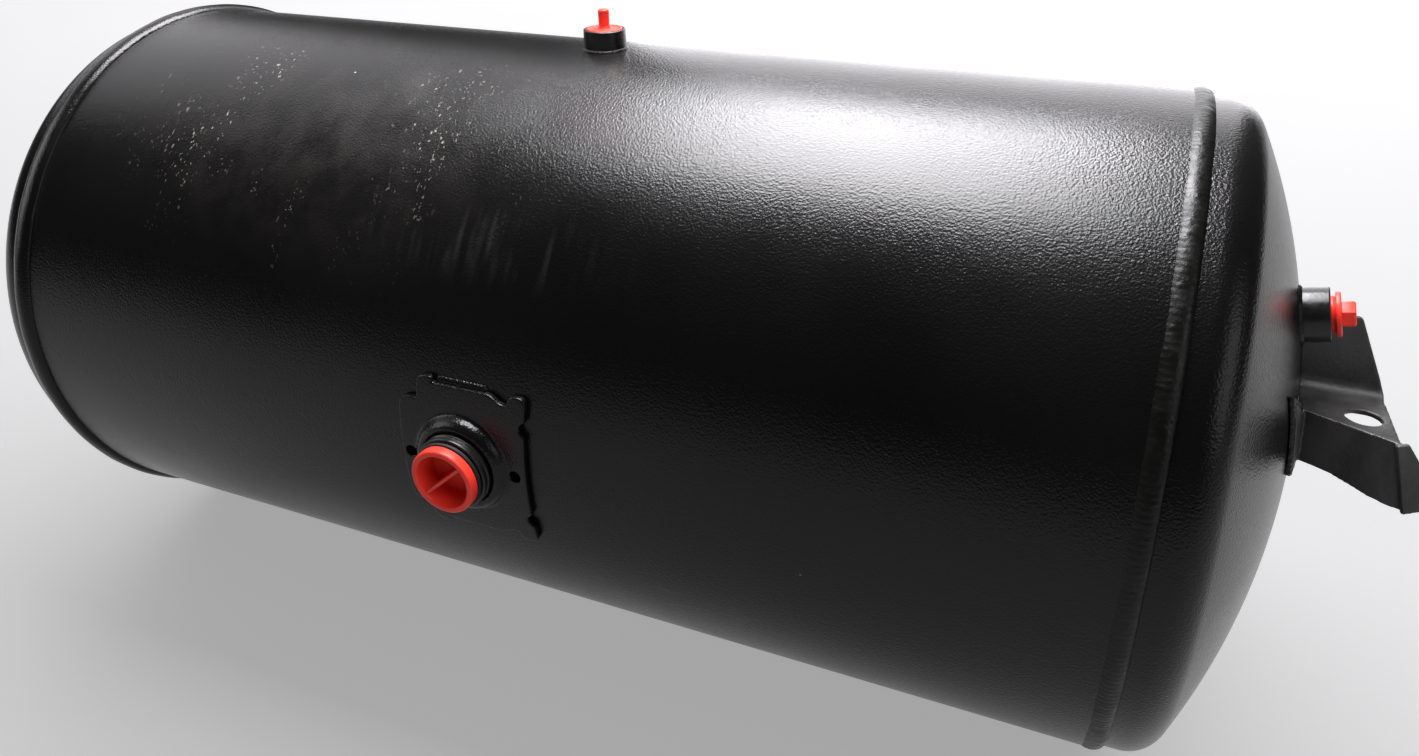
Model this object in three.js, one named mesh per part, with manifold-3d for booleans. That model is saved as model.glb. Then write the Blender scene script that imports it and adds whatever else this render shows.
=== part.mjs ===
// Welded steel air receiver tank: a rolled shell, two dished heads, three threaded
// ports closed with plastic transit plugs, and a folded mounting bracket.
// Millimetres, +Z up, tank axis along X, front port facing -Y.
import * as THREE from 'three';
import Module from 'manifold-3d';
import { mergeVertices } from 'three/addons/utils/BufferGeometryUtils.js';

// Driving dimensions -------------------------------------------------------------
const GAP = 0.3; // clearance left between neighbouring pieces
const FACETS = 48; // sides of every round part of the vessel
const PORT_FACETS = 32; // sides of the ports, plugs and rings

const SHELL_RADIUS = 198;
const SHELL_WALL = 2.8;
const SHELL_HALF = 360; // half of the shell's length

const SKIRT_RADIUS = SHELL_RADIUS - SHELL_WALL - GAP; // head skirt slips inside the shell
const SKIRT_INSIDE = 25; // skirt hidden in the shell
const SKIRT_OUTSIDE = 15.3; // skirt showing beyond the shell
const KNUCKLE_RADIUS = 22.5;
const CROWN_RADIUS = 396;

const BOSS_RADIUS = 13.75; // M22 x 1.5 port boss
const BORE_RADIUS = 10.2; // its minor thread radius
const TOP_BOSS_TOP = 211; // face height above the tank axis
const SEAT_RADIUS = 12.1; // counterbore in the top boss for its plug's flange
const SEAT_DEPTH = 1.5;
const HEAD_BOSS_RADIUS = 14.5;
const HEAD_BOSS_HEIGHT = 14; // face above the dished head
const HEAD_BOSS_Y = -31.4; // where the boss stands on the head
const HEAD_BOSS_Z = 95.6;
const WELD_BAND = 3; // width of the fillet round a boss
const WELD_HEIGHT = 2.8;
const PLUG_CLEARANCE = 0.3; // plain plug shank in a plain bore

const PLATE_THICKNESS = 4;
// Upper half of the saddle plate's outline: [along the tank, up, corner rounding].
const PLATE_OUTLINE = [
  [43, 27, 1.2],
  [39.8, 29, 1.6],
  [39.8, 33.4, 2],
  [43.2, 35.6, 1.5],
  [43.8, 49.4, 5.5],
  [32.6, 49.2, 4],
  [31.6, 43.2, 1.8],
  [27.4, 43.2, 2.2],
  [20, 47.6, 3],
  [-18.4, 47.3, 0.6],
  [-18.4, 50.5, 2.4],
  [-29, 50.5, 5],
  [-29, 36.4, 1.2],
  [-41.5, 36.4, 7],
];
const PLATE_HOLE_X = 35.7;
const PLATE_HOLE_RADIUS = 3.6;
const PLATE_WELD_LOW = 47.9; // weld strips above and below the plate
const PLATE_WELD_HIGH = 50.4;
const PLATE_WELD_START = -15;
const PLATE_WELD_END = 17;

const NECK_BORE = 18.3;
const NECK_RADIUS = 23;
const NECK_FACE = 213.3; // distance from the tank axis
const CAP_RADIUS = 20.5;
const CAP_FACE = 222.3;
const CAP_FLANGE = 216.3; // underside of the cap's rim
const CAP_FLOOR = 208;
const CAP_RECESS = 15;
const WEB_ANGLE = 42; // grip web from the tank's axis, degrees
const WEB_THICKNESS = 2;

const SHEET = 3; // bracket sheet thickness
const BRACKET_X = SHELL_HALF + 105.5; // centre of the bolt hole
const BRACKET_Y = -45.6;
const BRACKET_Z = 49;
const BRACKET_TILT = 4; // shelf leans back, degrees
const BOLT_HOLE_RADIUS = 9;
const BACK_PLATE_Y = 30; // front face of the upright, from the hole
const BACK_PLATE_TOP = 44;
const BEND_RADIUS = 7; // inside radius between shelf and upright
const CREASE_ANGLE = 27.2; // cheek turns forward from the tank's axis, degrees
const CREASE_X = -26.7;
const CREASE_Y = -4.7;
// Foot pad seen from the side: [back, up] from the bolt hole, then its weld's two outlines.
const FOOT_PAD = [[-45, 21], [-8, -0.8], [1.3, -0.8], [1.3, -31], [-6, -31], [-34, -21]];
const FOOT_WELD_INSIDE = [[-45.4, 21.4], [-8.1, -0.4], [60, -0.4], [60, -31.3], [-6.1, -31.3], [-34.3, -21.2]];
const FOOT_WELD_OUTSIDE = [[-49.3, 26.2], [-7.2, 3.4], [-4.7, 3.4], [-4.7, -34.7], [-6.8, -34.7], [-37.2, -23.6]];
const STEP = 0.4; // small step that keeps joined faces of the bracket apart
const REACH = 60; // how far blanks run past what trims them

// Materials ----------------------------------------------------------------------
const FINISHES = {
  powder_coat: { color: 0x1b1b1d, roughness: 0.42, metalness: 0.1 },
  coated_weld: { color: 0x202022, roughness: 0.38, metalness: 0.15 },
  gloss_coat: { color: 0x111113, roughness: 0.25, metalness: 0.15 },
  red_plastic: { color: 0xd8301c, roughness: 0.4, metalness: 0 },
  rubber: { color: 0x151515, roughness: 0.75, metalness: 0 },
};

// Solids -------------------------------------------------------------------------
const wasm = await Module();
wasm.setup();

function solid(geometry) {
  geometry.deleteAttribute('normal');
  geometry.deleteAttribute('uv');
  const merged = mergeVertices(geometry, 1e-4);
  const corners = merged.index.array;
  const triangles = [];
  for (let i = 0; i < corners.length; i += 3) {
    const [a, b, c] = corners.slice(i, i + 3);
    if (a !== b && b !== c && c !== a) triangles.push(a, b, c);
  }
  const mesh = new wasm.Mesh({
    numProp: 3,
    vertProperties: merged.attributes.position.array,
    triVerts: new Uint32Array(triangles),
  });
  return new wasm.Manifold(mesh);
}

function surface(body) {
  const mesh = body.getMesh();
  const geometry = new THREE.BufferGeometry();
  geometry.setAttribute('position', new THREE.BufferAttribute(mesh.vertProperties, 3));
  geometry.setIndex(new THREE.BufferAttribute(mesh.triVerts, 1));
  const faceted = geometry.toNonIndexed();
  faceted.computeVertexNormals();
  return faceted;
}

// Turns geometry made along +Z to point another way.
const aim = {
  up: (geometry) => geometry,
  front: (geometry) => geometry.rotateX(Math.PI / 2),
  right: (geometry) => geometry.rotateY(Math.PI / 2),
};

// Closed profile of [radius, height] points turned about +Z, with a flat on each axis.
function turned(profile, facets) {
  let area = 0;
  profile.forEach(([r, h], i) => {
    const [nextR, nextH] = profile[(i + 1) % profile.length];
    area += r * nextH - nextR * h;
  });
  const ordered = area > 0 ? profile : [...profile].reverse();
  const points = [...ordered, ordered[0]].map(([r, h]) => new THREE.Vector2(r, h));
  return new THREE.LatheGeometry(points, facets, Math.PI / facets).rotateX(Math.PI / 2);
}

function ring(inner, outer, low, high, facets = PORT_FACETS) {
  return turned([[inner, low], [outer, low], [outer, high], [inner, high]], facets);
}

function rod(radius, low, high, facets = PORT_FACETS) {
  return turned([[0, low], [radius, low], [radius, high], [0, high]], facets);
}

function block(x0, x1, y0, y1, z0, z1) {
  const box = new THREE.BoxGeometry(x1 - x0, y1 - y0, z1 - z0);
  return box.translate((x0 + x1) / 2, (y0 + y1) / 2, (z0 + z1) / 2);
}

// Flat outline of [a, b] points pushed along its normal from low to high.
function prism(outline, low, high) {
  const shape = new THREE.Shape(outline.map(([a, b]) => new THREE.Vector2(a, b)));
  const options = { depth: high - low, bevelEnabled: false };
  return new THREE.ExtrudeGeometry(shape, options).translate(0, 0, low);
}

// Maps a drawing's (a, b, depth) axes onto other axes of the model.
function drawnOn(geometry, a, b, depth) {
  return geometry.applyMatrix4(new THREE.Matrix4().makeBasis(a, b, depth));
}
const X = new THREE.Vector3(1, 0, 0);
const Y = new THREE.Vector3(0, 1, 0);
const Z = new THREE.Vector3(0, 0, 1);

// Vessel forms used to trim what sits on them ---------------------------------------
function barrel(radius) {
  const length = SHELL_HALF + REACH;
  return solid(aim.right(rod(radius, -length, length, FACETS)));
}

// Points of the dished head's outside, moved outward by offset, from skirt to pole.
function headCurve(offset) {
  const knuckle = KNUCKLE_RADIUS + offset;
  const crown = CROWN_RADIUS + offset;
  const kneeR = SKIRT_RADIUS - KNUCKLE_RADIUS;
  const kneeX = SHELL_HALF + SKIRT_OUTSIDE;
  const reach = CROWN_RADIUS - KNUCKLE_RADIUS;
  const tangent = Math.asin(kneeR / reach);
  const crownX = kneeX - Math.sqrt(reach ** 2 - kneeR ** 2);
  const points = [[SKIRT_RADIUS + offset, SHELL_HALF - SKIRT_INSIDE]];
  const KNUCKLE_STEPS = 4;
  const CROWN_STEPS = 7;
  for (let i = 0; i <= KNUCKLE_STEPS; i += 1) {
    const turn = (Math.PI / 2 - tangent) * (i / KNUCKLE_STEPS);
    points.push([kneeR + knuckle * Math.cos(turn), kneeX + knuckle * Math.sin(turn)]);
  }
  for (let i = 1; i <= CROWN_STEPS; i += 1) {
    const fall = tangent * (1 - i / CROWN_STEPS);
    points.push([crown * Math.sin(fall), crownX + crown * Math.cos(fall)]);
  }
  return points;
}

function headForm(offset) {
  const curve = headCurve(offset);
  const [, start] = curve[0];
  return solid(aim.right(turned([[0, start], ...curve], FACETS)));
}

function dishedHead() {
  const inside = headCurve(-SHELL_WALL).reverse();
  return solid(aim.right(turned([...headCurve(0), ...inside], FACETS)));
}

// Places geometry made along +Z square to the right head's crown where its port stands,
// with heights measured from the crown's centre.
const kneeSpan = SKIRT_RADIUS - KNUCKLE_RADIUS;
const crownReach = CROWN_RADIUS - KNUCKLE_RADIUS;
const CROWN_CENTRE = SHELL_HALF + SKIRT_OUTSIDE - Math.sqrt(crownReach ** 2 - kneeSpan ** 2);
const portRise = Math.asin(HEAD_BOSS_Z / CROWN_RADIUS);
const portSwing = Math.asin(HEAD_BOSS_Y / (CROWN_RADIUS * Math.cos(portRise)));
function onHeadPort(geometry) {
  aim.right(geometry).rotateY(-portRise).rotateZ(portSwing);
  return solid(geometry.translate(CROWN_CENTRE, 0, 0));
}

const shellForm = barrel(SHELL_RADIUS + GAP);
const rightHeadForm = headForm(GAP);

// Sub-parts ----------------------------------------------------------------------
const tank = new THREE.Group();

function add(name, body, finish) {
  const material = new THREE.MeshStandardMaterial(FINISHES[finish]);
  const mesh = new THREE.Mesh(surface(body), material);
  mesh.name = name;
  tank.add(mesh);
  return mesh;
}

function addShell() {
  const inner = SHELL_RADIUS - SHELL_WALL;
  const tube = solid(aim.right(ring(inner, SHELL_RADIUS, -SHELL_HALF, SHELL_HALF, FACETS)));
  const topHole = solid(rod(BORE_RADIUS, inner - REACH, TOP_BOSS_TOP));
  const frontHole = solid(aim.front(rod(NECK_BORE, inner - REACH, NECK_FACE)));
  add('shell', tube.subtract(topHole).subtract(frontHole), 'powder_coat');
}

function addHeads() {
  const portHole = onHeadPort(rod(BORE_RADIUS, CROWN_RADIUS - REACH / 2, CROWN_RADIUS + HEAD_BOSS_HEIGHT));
  add('head_right', dishedHead().subtract(portHole), 'powder_coat');
  const left = add('head_left', dishedHead(), 'powder_coat');
  left.rotation.z = Math.PI;
}

// Girth joints: a sloped fillet on the right and a raised rounded bead on the left.
function addGirthWelds() {
  const root = SKIRT_RADIUS + GAP;
  const edge = SHELL_HALF + GAP;
  const fillet = [
    [root, edge],
    [SHELL_RADIUS, edge],
    [SHELL_RADIUS - 0.4, edge + 2.2],
    [root + 0.3, edge + 6.5],
    [root, edge + 6.5],
  ];
  add('girth_weld_right', solid(aim.right(turned(fillet, FACETS))), 'coated_weld');
  const bead = [
    [root, -edge],
    [root, -edge - 8.7],
    [SHELL_RADIUS + 0.6, -edge - 7.7],
    [SHELL_RADIUS + 3, -edge - 4.7],
    [SHELL_RADIUS + 4, -edge - 2.2],
    [SHELL_RADIUS + 4, -edge + 0.8],
    [SHELL_RADIUS + 3, -edge + 3.3],
    [SHELL_RADIUS + GAP, -edge + 5.7],
    [SHELL_RADIUS + GAP, -edge],
  ];
  add('girth_weld_left', solid(aim.right(turned(bead, FACETS))), 'coated_weld');
}

// Bead over the shell's lengthwise seam, on a flat at the lower back.
function addSeamWeld() {
  const FACETS_BELOW_BACK = 5;
  const flat = SHELL_RADIUS * Math.cos(Math.PI / FACETS) + GAP;
  const section = [[-4, flat], [4, flat], [2.5, flat + 1.5], [-2.5, flat + 1.5]];
  const bead = drawnOn(prism(section, -SHELL_HALF + 8, SHELL_HALF - 1), Y, Z, X);
  bead.rotateX(-Math.PI / 2 - (FACETS_BELOW_BACK * 2 * Math.PI) / FACETS);
  add('seam_weld', solid(bead), 'coated_weld');
}

function addTopPort() {
  const low = SHELL_RADIUS - WELD_BAND * 3;
  const floor = TOP_BOSS_TOP - SEAT_DEPTH;
  const boss = solid(ring(BORE_RADIUS, BOSS_RADIUS, low, TOP_BOSS_TOP));
  const seat = solid(rod(SEAT_RADIUS, floor, TOP_BOSS_TOP + SEAT_DEPTH));
  add('top_port_boss', boss.subtract(shellForm).subtract(seat), 'gloss_coat');

  const foot = BOSS_RADIUS + GAP;
  const band = solid(ring(foot, foot + WELD_BAND, low, TOP_BOSS_TOP));
  const skin = barrel(SHELL_RADIUS + GAP + WELD_HEIGHT);
  add('top_port_weld', band.intersect(skin).subtract(shellForm), 'coated_weld');

  const shank = BORE_RADIUS - PLUG_CLEARANCE;
  const flange = floor + GAP;
  const plug = [
    [0, flange - 12],
    [shank - 0.8, flange - 12],
    [shank, flange - 11],
    [shank, flange],
    [11.7, flange],
    [11.7, flange + 1.2],
    [11.1, flange + 1.6],
    [4, flange + 1.6],
    [3.5, flange + 3],
    [3.7, flange + 12.6],
    [2.7, flange + 13.6],
    [0, flange + 13.6],
  ];
  add('top_plug', solid(turned(plug, PORT_FACETS)), 'red_plastic');
}

// Closed shape through [a, b, rounding] corners, each rounded over that length of its sides.
function roundedShape(corners) {
  const shape = new THREE.Shape();
  const points = corners.map(([a, b]) => new THREE.Vector2(a, b));
  const toward = (from, to, length) => to.clone().sub(from).setLength(length).add(from);
  corners.forEach(([a, b, rounding], i) => {
    const start = toward(points[i], points.at(i - 1), rounding);
    const end = toward(points[i], points[(i + 1) % points.length], rounding);
    if (i === 0) shape.moveTo(start.x, start.y);
    else shape.lineTo(start.x, start.y);
    shape.quadraticCurveTo(a, b, end.x, end.y);
  });
  return shape;
}

// Saddle plate hugging the shell, with a pressed dome round the neck.
function addFlangePlate() {
  const low = SHELL_RADIUS - REACH;
  const lower = PLATE_OUTLINE.map(([a, b, rounding]) => [a, -b, rounding]).reverse();
  const outline = roundedShape([...PLATE_OUTLINE, ...lower]);
  const options = { depth: REACH * 2, bevelEnabled: false, curveSegments: 4 };
  const blank = new THREE.ExtrudeGeometry(outline, options).translate(0, 0, low);
  let plate = solid(aim.front(blank)).intersect(barrel(SHELL_RADIUS + PLATE_THICKNESS));
  const dome = [
    [0, low],
    [30.5, low],
    [30.5, 202.6],
    [29.2, 205.2],
    [26.9, 207],
    [24.8, 207.6],
    [0, 207.6],
  ];
  plate = plate.add(solid(aim.front(turned(dome, PORT_FACETS))));
  plate = plate.subtract(shellForm);
  plate = plate.subtract(solid(aim.front(rod(NECK_RADIUS + GAP, low, CAP_FACE))));
  for (const side of [-1, 1]) {
    const bolt = rod(PLATE_HOLE_RADIUS, low, CAP_FACE, 16).translate(side * PLATE_HOLE_X, 0, 0);
    plate = plate.subtract(solid(aim.front(bolt)));
  }
  add('flange_plate', plate, 'powder_coat');
}

// Short fillets along the saddle plate's upper and lower edges.
function addPlateWelds() {
  const skin = barrel(SHELL_RADIUS + PLATE_THICKNESS - 1).subtract(shellForm);
  for (const [name, end] of [['upper', 1], ['lower', -1]]) {
    const low = Math.min(end * PLATE_WELD_LOW, end * PLATE_WELD_HIGH);
    const high = Math.max(end * PLATE_WELD_LOW, end * PLATE_WELD_HIGH);
    const strip = block(PLATE_WELD_START, PLATE_WELD_END, -CAP_FACE, 0, low, high);
    add(`plate_weld_${name}`, solid(strip).intersect(skin), 'coated_weld');
  }
}

function addNeck() {
  const low = SHELL_RADIUS - 8;
  const collar = [
    [NECK_BORE, low],
    [NECK_RADIUS, low],
    [NECK_RADIUS, NECK_FACE - 1],
    [NECK_RADIUS - 1, NECK_FACE],
    [NECK_BORE, NECK_FACE],
  ];
  const body = solid(aim.front(turned(collar, PORT_FACETS)));
  add('neck_collar', body.subtract(shellForm), 'gloss_coat');

  const gasket = ring(NECK_BORE + 0.3, CAP_RADIUS + 0.9, NECK_FACE + GAP, CAP_FLANGE - GAP);
  add('cap_gasket', solid(aim.front(gasket)), 'rubber');
}

// Screw-in transit cap: a cup with one flat web across it to turn it by.
function addFrontCap() {
  const shank = NECK_BORE - PLUG_CLEARANCE;
  const cup = [
    [0, CAP_FLOOR - 4],
    [shank - 1, CAP_FLOOR - 4],
    [shank, CAP_FLOOR - 3],
    [shank, CAP_FLANGE],
    [CAP_RADIUS, CAP_FLANGE],
    [CAP_RADIUS, CAP_FACE - 0.8],
    [CAP_RADIUS - 0.8, CAP_FACE],
    [CAP_RECESS + 1.2, CAP_FACE],
    [CAP_RECESS + 0.4, CAP_FACE - 0.8],
    [CAP_RECESS, CAP_FLOOR],
    [0, CAP_FLOOR],
  ];
  const web = block(-REACH, REACH, -WEB_THICKNESS / 2, WEB_THICKNESS / 2, CAP_FLOOR - 1, CAP_FACE - 0.6);
  web.rotateZ(THREE.MathUtils.degToRad(WEB_ANGLE));
  const inside = rod(CAP_RECESS + 0.8, CAP_FLOOR - 2, CAP_FACE);
  const rib = solid(aim.front(web)).intersect(solid(aim.front(inside)));
  add('front_cap', solid(aim.front(turned(cup, PORT_FACETS))).add(rib), 'red_plastic');
}

function addHeadPort() {
  const face = CROWN_RADIUS + HEAD_BOSS_HEIGHT;
  const low = CROWN_RADIUS - WELD_BAND * 3;
  const boss = onHeadPort(ring(BORE_RADIUS, HEAD_BOSS_RADIUS, low, face));
  add('head_port_boss', boss.subtract(rightHeadForm), 'gloss_coat');

  const foot = HEAD_BOSS_RADIUS + GAP;
  const band = onHeadPort(ring(foot, foot + WELD_BAND, low, face));
  const skin = headForm(GAP + WELD_HEIGHT);
  add('head_port_weld', band.intersect(skin).subtract(rightHeadForm), 'coated_weld');

  const shank = BORE_RADIUS - PLUG_CLEARANCE;
  const body = [
    [0, face - 10],
    [shank - 0.8, face - 10],
    [shank, face - 9],
    [shank, face + 2.1],
    [12, face + 2.1],
    [12, face + 4.8],
    [0, face + 4.8],
  ];
  const HEX_RADIUS = 7.3;
  const hexagon = rod(HEX_RADIUS, face + 4, face + 11.3, 6);
  add('head_plug', onHeadPort(turned(body, PORT_FACETS)).add(onHeadPort(hexagon)), 'red_plastic');
}

// Bracket, drawn from the centre of its bolt hole: x outward, y back, z up.
const bracketFrame = new THREE.Matrix4()
  .makeRotationX(THREE.MathUtils.degToRad(-BRACKET_TILT))
  .setPosition(BRACKET_X, BRACKET_Y, BRACKET_Z);

function onBracket(geometry) {
  return solid(geometry.applyMatrix4(bracketFrame));
}

// Shelf and upright as one bent section, trimmed in plan and in elevation.
function bracketBack() {
  const bend = BACK_PLATE_Y - BEND_RADIUS;
  const section = new THREE.Shape();
  section.moveTo(BACK_PLATE_Y + SHEET, BACK_PLATE_TOP);
  section.lineTo(BACK_PLATE_Y, BACK_PLATE_TOP);
  section.lineTo(BACK_PLATE_Y, BEND_RADIUS);
  section.absarc(bend, BEND_RADIUS, BEND_RADIUS, 0, -Math.PI / 2, true);
  section.lineTo(-BACK_PLATE_Y, 0);
  section.lineTo(-BACK_PLATE_Y, -SHEET);
  section.lineTo(bend, -SHEET);
  section.absarc(bend, BEND_RADIUS, BEND_RADIUS + SHEET, -Math.PI / 2, 0, false);
  const options = { depth: REACH * 2, bevelEnabled: false, curveSegments: 5 };
  const channel = new THREE.ExtrudeGeometry(section, options).translate(0, 0, -REACH);
  const slope = Math.tan(THREE.MathUtils.degToRad(CREASE_ANGLE));
  const plan = [
    [-REACH, REACH],
    [12.6, REACH],
    [13.6, CREASE_Y - (13.6 - CREASE_X) * slope],
    [-REACH, CREASE_Y + (REACH + CREASE_X) * slope],
  ];
  const elevation = [
    [-REACH, -REACH],
    [REACH, -REACH],
    [REACH, 1],
    [13.2, 1],
    [11.6, 5],
    [9.6, 10],
    [-5.5, BACK_PLATE_TOP - 1],
    [-7, BACK_PLATE_TOP],
    [-REACH, BACK_PLATE_TOP],
  ];
  return onBracket(drawnOn(channel, Y, Z, X))
    .intersect(onBracket(prism(plan, -REACH, REACH)))
    .intersect(onBracket(drawnOn(prism(elevation, -REACH, REACH), X, Z, Y.clone().negate())));
}

// Front cheek hanging from the crease, with a stiffening lip folded along its free end.
function bracketCheek() {
  const turn = THREE.MathUtils.degToRad(-CREASE_ANGLE);
  const place = (geometry) => geometry.rotateZ(turn).translate(CREASE_X, CREASE_Y, 0);
  const freeEdge = { top: [43.7, -STEP], bottom: [54.4, -35] };
  const outline = [
    [-REACH / 2, -STEP],
    freeEdge.top,
    freeEdge.bottom,
    [45.7, -35.4],
    [36.6, -34.5],
    [28.3, -32.5],
    [17.9, -30.3],
    [8, -29.6],
    [-REACH / 2, -30.5],
  ];
  const cheek = drawnOn(prism(outline, -SHEET, 0), X, Z, Y.clone().negate());

  const LIP_FOLD = 50;
  const run = new THREE.Vector3(10.7, 0, -35).normalize();
  const out = new THREE.Vector3(35, 0, 10.7).normalize();
  const fold = THREE.MathUtils.degToRad(LIP_FOLD);
  const across = out.clone().multiplyScalar(Math.cos(fold)).addScaledVector(Y, Math.sin(fold));
  const normal = across.clone().cross(run);
  const lipOutline = [[-2, 0], [4, 0], [11, 16], [9, 36.6], [-2, 36.6]];
  const lip = drawnOn(prism(lipOutline, STEP - SHEET, STEP), across, run, normal);
  lip.translate(freeEdge.top[0], 0, freeEdge.top[1]);
  return onBracket(place(cheek)).add(onBracket(place(lip)));
}

function addBracket() {
  const foot = onBracket(drawnOn(prism(FOOT_PAD, -REACH, REACH), Y, Z, X));
  const pad = foot.intersect(headForm(GAP + SHEET));
  const hole = onBracket(rod(BOLT_HOLE_RADIUS, -REACH, REACH, PORT_FACETS));
  const body = bracketBack().add(bracketCheek()).add(pad);
  add('bracket', body.subtract(rightHeadForm).subtract(hole), 'powder_coat');
}

// Fillets that hold the bracket to the head: round its foot, and behind the upright.
function addBracketWelds() {
  const bead = 3.7;
  const skin = headForm(GAP + 2.4);
  const rim = drawnOn(prism(FOOT_WELD_OUTSIDE, -REACH, REACH), Y, Z, X);
  const kept = drawnOn(prism(FOOT_WELD_INSIDE, -REACH - STEP, REACH + STEP), Y, Z, X);
  const round = onBracket(rim).subtract(onBracket(kept));
  add('bracket_foot_weld', round.intersect(skin).subtract(rightHeadForm), 'coated_weld');

  const back = BACK_PLATE_Y + SHEET + GAP;
  const strip = onBracket(block(-REACH, REACH, back, back + bead, 4, BACK_PLATE_TOP - 4));
  add('bracket_back_weld', strip.intersect(skin).subtract(rightHeadForm), 'coated_weld');
}

addShell();
addHeads();
addGirthWelds();
addSeamWeld();
addTopPort();
addFlangePlate();
addPlateWelds();
addNeck();
addFrontCap();
addHeadPort();
addBracket();
addBracketWelds();

// The origin is at the middle of the underside of the whole tank's box.
const box = new THREE.Box3().setFromObject(tank);
const middle = box.getCenter(new THREE.Vector3());
tank.position.set(-middle.x, -middle.y, -box.min.z);

const group = new THREE.Group();
group.add(tank);
export default group;
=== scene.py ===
"""Looks of the welded air receiver tank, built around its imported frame.

Lengths are in metres unless a name ends in _MM. Shapes are drawn in the tank's own
axes: x along the tank from mid-length, y back, z up, with zero on the tank's axis.
"""
import math

import bmesh
import bpy
from mathutils import Matrix, Vector, noise


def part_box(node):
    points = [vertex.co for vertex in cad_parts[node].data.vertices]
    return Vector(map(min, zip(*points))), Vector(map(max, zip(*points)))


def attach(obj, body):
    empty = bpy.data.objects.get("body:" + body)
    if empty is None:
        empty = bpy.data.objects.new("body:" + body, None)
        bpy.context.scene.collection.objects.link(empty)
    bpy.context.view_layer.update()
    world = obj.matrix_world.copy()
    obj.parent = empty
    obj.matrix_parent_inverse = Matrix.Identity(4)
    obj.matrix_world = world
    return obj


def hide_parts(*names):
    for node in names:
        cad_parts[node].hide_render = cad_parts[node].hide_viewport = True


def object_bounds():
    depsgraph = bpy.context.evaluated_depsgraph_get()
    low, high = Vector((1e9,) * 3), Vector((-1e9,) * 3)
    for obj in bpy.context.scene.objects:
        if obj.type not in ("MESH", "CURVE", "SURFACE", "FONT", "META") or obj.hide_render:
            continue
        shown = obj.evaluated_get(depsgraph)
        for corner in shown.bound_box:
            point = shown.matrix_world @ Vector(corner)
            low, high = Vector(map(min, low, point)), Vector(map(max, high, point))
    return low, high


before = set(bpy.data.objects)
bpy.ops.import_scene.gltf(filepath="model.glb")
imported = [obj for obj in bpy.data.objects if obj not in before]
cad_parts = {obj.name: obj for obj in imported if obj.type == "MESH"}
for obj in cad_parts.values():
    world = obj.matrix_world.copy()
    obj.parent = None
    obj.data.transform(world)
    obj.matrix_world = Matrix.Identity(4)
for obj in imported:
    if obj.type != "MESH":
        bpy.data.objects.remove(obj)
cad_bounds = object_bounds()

MM = 0.001

# Vessel sizes, as in the CAD part ---------------------------------------------------
SHELL_R = 198 * MM
SHELL_WALL = 2.8 * MM
SHELL_HALF = 360 * MM
SKIRT_R = 194.9 * MM
SKIRT_OUT = 15.3 * MM
SKIRT_IN = 25 * MM
KNUCKLE_R = 22.5 * MM
CROWN_R = 396 * MM
BORE_R = 10.2 * MM
BOSS_R = 13.75 * MM
TOP_BOSS = 211 * MM
SEAT_R = 12.1 * MM
SEAT_DEPTH = 1.5 * MM
HEAD_BOSS_R = 14.5 * MM
HEAD_BOSS_FACE = CROWN_R + 14 * MM
HEAD_PORT_Y = -31.4 * MM
HEAD_PORT_Z = 95.6 * MM
NECK_BORE = 18.3 * MM
NECK_R = 23 * MM
NECK_FACE = 213.3 * MM
CAP_FLANGE = 216.3 * MM
CAP_FACE = 222.3 * MM
CAP_R = 20.5 * MM
CAP_FLOOR = 208 * MM
CAP_RECESS = 15 * MM
WEB_ANGLE = math.radians(42)
PLATE_R = 202 * MM
PLATE_FACETS = 48
PLATE_RING_R = 34 * MM
PLATE_WELD_Y = 48.2 * MM

# Weld beads: width and height, the girth ripple's pitch, and the seam's place below
# straight back
GIRTH_RIGHT_SIZE = (14 * MM, 4.5 * MM)
GIRTH_LEFT_SIZE = (15 * MM, 5.2 * MM)
SEAM_SIZE = (8 * MM, 1.3 * MM)
PORT_FILLET_SIZE = (4.6 * MM, 1.5 * MM)
PLATE_WELD_SIZE = (5 * MM, 2.0 * MM)
RIPPLE = 3.4 * MM
SEAM_ANGLE = math.radians(-37.5)

# Plugs, with radius and height above the boss for each row of the hexagon's corners
PLUG_R = 9.9 * MM
HEXAGON_MM = ((7.3, 4.5), (7.3, 10.4), (6.7, 11.3))

# Steps round a rounded corner of an outline, a turned piece and a cutting rod, and
# along a head's knuckle and crown
ARC_STEPS = 5
TURNED_STEPS = 128
ROD_STEPS = 64
KNUCKLE_STEPS = 14
CROWN_STEPS = 26

# Stage: floor, light and camera
FLOOR_GAP = 0.5 * MM
FLOOR_REACH = 30.0
FLOOR_GLOW = 0.36
LIGHT_TINT = (1, 0.985, 1.02)
WORLD_LIGHT = 0.06
CAMERA_PLACE = (0.3030, -0.6027, 0.5555)
CAMERA_TURN = (64.123, 0.694, 22.801)
CAMERA_LENS = 26.69
CAMERA_SHIFT = (0.0029, -0.0592)

# The tank's axis at mid-length, where the CAD puts it
shell_low, shell_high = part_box("shell")
AXIS = (Vector(shell_low) + Vector(shell_high)) / 2

# Where geometry drawn along +Z points in the tank's axes
UP = Matrix.Identity(4)
FRONT = Matrix.Rotation(math.pi / 2, 4, "X")
RIGHT = Matrix.Rotation(math.pi / 2, 4, "Y")
LEFT = Matrix.Rotation(math.pi, 4, "Z") @ RIGHT

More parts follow.
